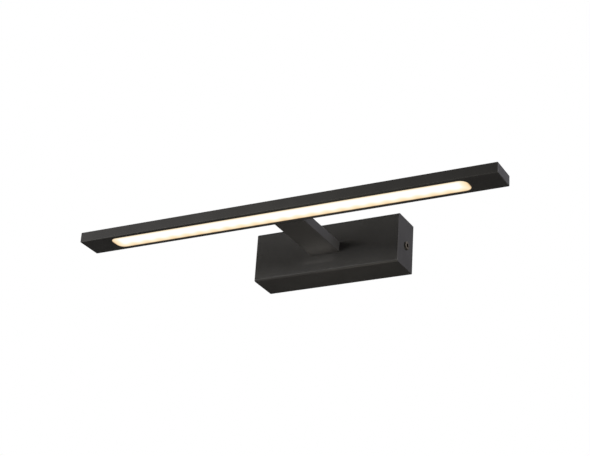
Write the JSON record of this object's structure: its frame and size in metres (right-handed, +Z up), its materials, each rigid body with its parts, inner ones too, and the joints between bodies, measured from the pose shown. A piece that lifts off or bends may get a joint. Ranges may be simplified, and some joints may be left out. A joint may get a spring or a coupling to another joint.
{
  "type": "picture light",
  "caption": "Wall-mounted picture light: slim bar with a long rounded light window below, on a flat arm from a rectangular wall box with side cover screws.",
  "frame": {"origin": "centre of the wall box on the wall plane, which is the wall bracket's back face", "axes": "+X along the light bar, +Y into the wall, +Z up; the arm and the light bar stand out towards -Y"},
  "size_m": [0.4, 0.1288, 0.0468],
  "materials": {
    "black_powder_coat": "fine matt black powder coat",
    "bronzed_steel": "dark bronzed steel",
    "aluminium": "machined",
    "brass": "plain",
    "black_rubber": "moulded",
    "opal_diffuser": "opal, lit warm white from behind",
    "white_solder_mask": "white solder mask",
    "led_phosphor": "warm white LED phosphor",
    "red_insulation": "wire insulation",
    "black_insulation": "wire insulation",
    "brown_insulation": "wire insulation",
    "blue_insulation": "wire insulation",
    "green_insulation": "wire insulation, green and yellow",
    "white_plastic": "moulded housing",
    "circuit_board": "green solder mask",
    "transformer_tape": "insulating tape",
    "capacitor_sleeve": "shrink sleeve",
    "zinc_plated_steel": "zinc plated"
  },
  "bodies": {
    "lamp": {"arm_backing_plate": "zinc_plated_steel", "arm_front_block": "aluminium", "arm_root_block": "aluminium", "arm_screw_left": "zinc_plated_steel", "arm_screw_right": "zinc_plated_steel", "arm_tube": "black_powder_coat", "bar_screw_left": "zinc_plated_steel", "bar_screw_right": "zinc_plated_steel", "box_cover": "black_powder_coat", "cable_grommet": "black_rubber", "diffuser": "opal_diffuser", "driver_base": "white_plastic", "driver_board": "circuit_board", "driver_capacitor": "capacitor_sleeve", "driver_lid": "white_plastic", "driver_transformer": "transformer_tape", "earth_screw": "brass", "earth_tag": "zinc_plated_steel", "earth_wire": "green_insulation", "flange_nut_left": "zinc_plated_steel", "flange_nut_right": "zinc_plated_steel", "led_01": "led_phosphor", "led_02": "led_phosphor", "led_03": "led_phosphor", "led_04": "led_phosphor", "led_05": "led_phosphor", "led_06": "led_phosphor", "led_07": "led_phosphor", "led_08": "led_phosphor", "led_09": "led_phosphor", "led_10": "led_phosphor", "led_11": "led_phosphor", "led_12": "led_phosphor", "led_13": "led_phosphor", "led_14": "led_phosphor", "led_15": "led_phosphor", "led_16": "led_phosphor", "led_17": "led_phosphor", "led_18": "led_phosphor", "led_19": "led_phosphor", "led_20": "led_phosphor", "led_21": "led_phosphor", "led_22": "led_phosphor", "led_23": "led_phosphor", "led_24": "led_phosphor", "led_board": "white_solder_mask", "led_wire_black": "black_insulation", "led_wire_red": "red_insulation", "light_bar": "black_powder_coat", "live_wire": "brown_insulation", "neutral_wire": "blue_insulation", "terminal_block": "white_plastic", "wall_bracket": "zinc_plated_steel", "wire_grommet": "black_rubber"},
    "washer_left": {"screw_washer_left": "zinc_plated_steel"},
    "screw_left": {"cover_screw_left": "bronzed_steel"},
    "washer_right": {"screw_washer_right": "zinc_plated_steel"},
    "screw_right": {"cover_screw_right": "bronzed_steel"}
  },
  "joints": [
    {"name": "left_cover_screw_travel", "type": "slide", "parent": "lamp", "child": "washer_left", "axis": [-1, 0, 0], "range_m": [0, 0.0035]},
    {"name": "left_cover_screw_turn", "type": "hinge", "parent": "washer_left", "child": "screw_left", "pos_m": [-0.0714, -0.0154, -0.0022], "axis": [-1, 0, 0], "range_deg": [0, 1800]},
    {"name": "right_cover_screw_travel", "type": "slide", "parent": "lamp", "child": "washer_right", "axis": [1, 0, 0], "range_m": [0, 0.0035]},
    {"name": "right_cover_screw_turn", "type": "hinge", "parent": "washer_right", "child": "screw_right", "pos_m": [0.0714, -0.0154, -0.0022], "axis": [1, 0, 0], "range_deg": [0, 1800]}
  ],
  "couplings": [
    {"joint": "left_cover_screw_turn", "follows": "left_cover_screw_travel", "rad_per_m": 8975.9},
    {"joint": "right_cover_screw_turn", "follows": "right_cover_screw_travel", "rad_per_m": 8975.9}
  ]
}
